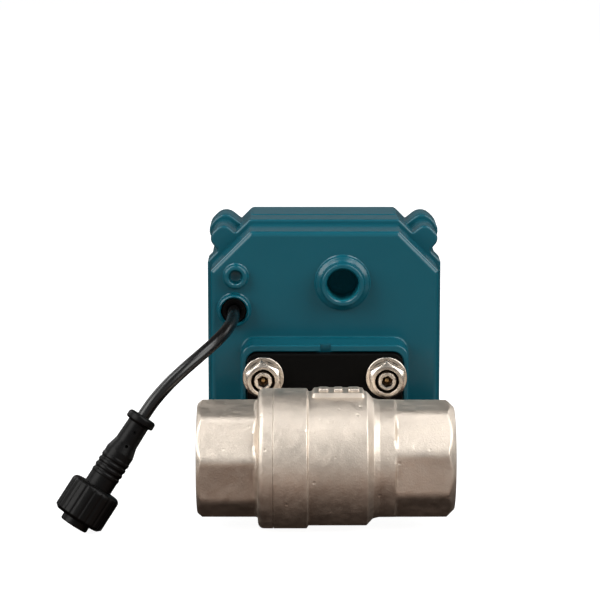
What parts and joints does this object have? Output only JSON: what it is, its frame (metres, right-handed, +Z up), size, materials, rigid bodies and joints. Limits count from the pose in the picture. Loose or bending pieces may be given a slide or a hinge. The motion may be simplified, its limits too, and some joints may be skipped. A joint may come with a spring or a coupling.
{
  "type": "motorized ball valve actuator",
  "caption": "Compact electric quarter-turn actuator in a chamfered two-shell housing, driving a two-piece threaded stainless ball valve, with a short lead and round waterproof plug.",
  "frame": {"origin": "middle of the bounding box of the valve and actuator (lead and plug left out), on the plane that the barrel and the housing rim rest on", "axes": "+X along the pipe towards the body's end (away from the end cap), +Y along the stem from the valve into the actuator, +Z up as the unit lies"},
  "size_m": [0.0927, 0.0954, 0.0661],
  "materials": {
    "teal_housing": "fine moulded grain, semi-gloss",
    "cast_stainless": "bead-blasted investment casting",
    "bright_steel": "plated, turned",
    "black_plate": "satin black",
    "brass": "turned",
    "seal_white": "PTFE",
    "gear_plastic": "moulded acetal",
    "black_rubber": "matt",
    "black_plastic": "fine grain",
    "board_green": "lacquered",
    "window_clear": "clear polycarbonate",
    "signal_yellow": "moulded"
  },
  "bodies": {
    "housing": {"base_housing": "teal_housing", "rear_cover": "teal_housing", "valve_body": "cast_stainless", "end_cap": "cast_stainless", "washer_left": "bright_steel", "washer_right": "bright_steel", "nut_left": "bright_steel", "nut_right": "bright_steel", "cover_screw_1": "bright_steel", "cover_screw_2": "bright_steel", "cover_screw_3": "bright_steel", "cover_screw_4": "bright_steel", "gear_plate": "bright_steel", "plate_screw_1": "bright_steel", "plate_screw_2": "bright_steel", "plate_screw_3": "bright_steel", "plate_screw_4": "bright_steel", "gear_axle_1": "bright_steel", "gear_axle_2": "bright_steel", "motor_can": "bright_steel", "stud_left": "bright_steel", "stud_right": "bright_steel", "mounting_plate": "black_plate", "packing_gland": "brass", "board_spacer_1": "brass", "board_spacer_2": "brass", "body_gasket": "seal_white", "seat_ring_left": "seal_white", "seat_ring_right": "seal_white", "stem_thrust_washer": "seal_white", "stem_packing": "seal_white", "front_bush": "gear_plastic", "rear_bush": "gear_plastic", "terminal_block": "gear_plastic", "cable": "black_rubber", "cable_grommet": "black_rubber", "connector_boot": "black_rubber", "housing_seal": "black_rubber", "connector_insert": "black_plastic", "microswitch_open": "black_plastic", "microswitch_closed": "black_plastic", "control_relay": "black_plastic", "circuit_board": "board_green", "window_lens": "window_clear"},
    "output_drive": {"valve_ball": "bright_steel", "valve_stem": "bright_steel", "output_shaft": "bright_steel", "output_gear": "gear_plastic", "limit_cam": "gear_plastic", "indicator_dial": "signal_yellow"},
    "compound_drive_1": {"compound_gear_1": "gear_plastic"},
    "compound_drive_2": {"compound_gear_2": "gear_plastic"},
    "motor_rotor": {"motor_pinion": "brass"},
    "lever_open": {"switch_lever_open": "bright_steel"},
    "lever_closed": {"switch_lever_closed": "bright_steel"},
    "plug_nut": {"connector_nut": "black_plastic"}
  },
  "joints": [
    {"name": "output_turn", "type": "hinge", "parent": "housing", "child": "output_drive", "pos_m": [0, 0.0024, 0.0164], "axis": [0, 1, 0], "range_deg": [0, 90]},
    {"name": "compound_1_spin", "type": "hinge", "parent": "housing", "child": "compound_drive_1", "pos_m": [-0.0052, 0.0104, 0.03068], "axis": [0, 1, 0], "range_deg": [-252, 0]},
    {"name": "compound_2_spin", "type": "hinge", "parent": "housing", "child": "compound_drive_2", "pos_m": [0.0016, 0.0144, 0.04246], "axis": [0, 1, 0], "range_deg": [0, 604.8]},
    {"name": "motor_spin", "type": "hinge", "parent": "housing", "child": "motor_rotor", "pos_m": [0.01122, 0.0184, 0.05208], "axis": [0, 1, 0], "range_deg": [-1451.52, 0]},
    {"name": "open_lever_swing", "type": "hinge", "parent": "housing", "child": "lever_open", "pos_m": [-0.00895, 0.0249, 0.0274], "axis": [0, 1, 0], "range_deg": [-7.8, 0]},
    {"name": "closed_lever_swing", "type": "hinge", "parent": "housing", "child": "lever_closed", "pos_m": [0.00745, 0.0249, 0.0274], "axis": [0, 1, 0], "range_deg": [-7.8, 0]},
    {"name": "plug_nut_turn", "type": "hinge", "parent": "housing", "child": "plug_nut", "pos_m": [-0.0587, -0.0374, 0.0021], "axis": [0.54, 0.19, 0.82], "continuous": true}
  ],
  "couplings": [
    {"joint": "compound_1_spin", "follows": "output_turn", "ratio": -2.8},
    {"joint": "compound_2_spin", "follows": "output_turn", "ratio": 6.72},
    {"joint": "motor_spin", "follows": "output_turn", "ratio": -16.128},
    {"joint": "open_lever_swing", "follows": "output_turn", "ratio": -0.08628},
    {"joint": "closed_lever_swing", "follows": "output_turn", "ratio": -0.08628}
  ]
}
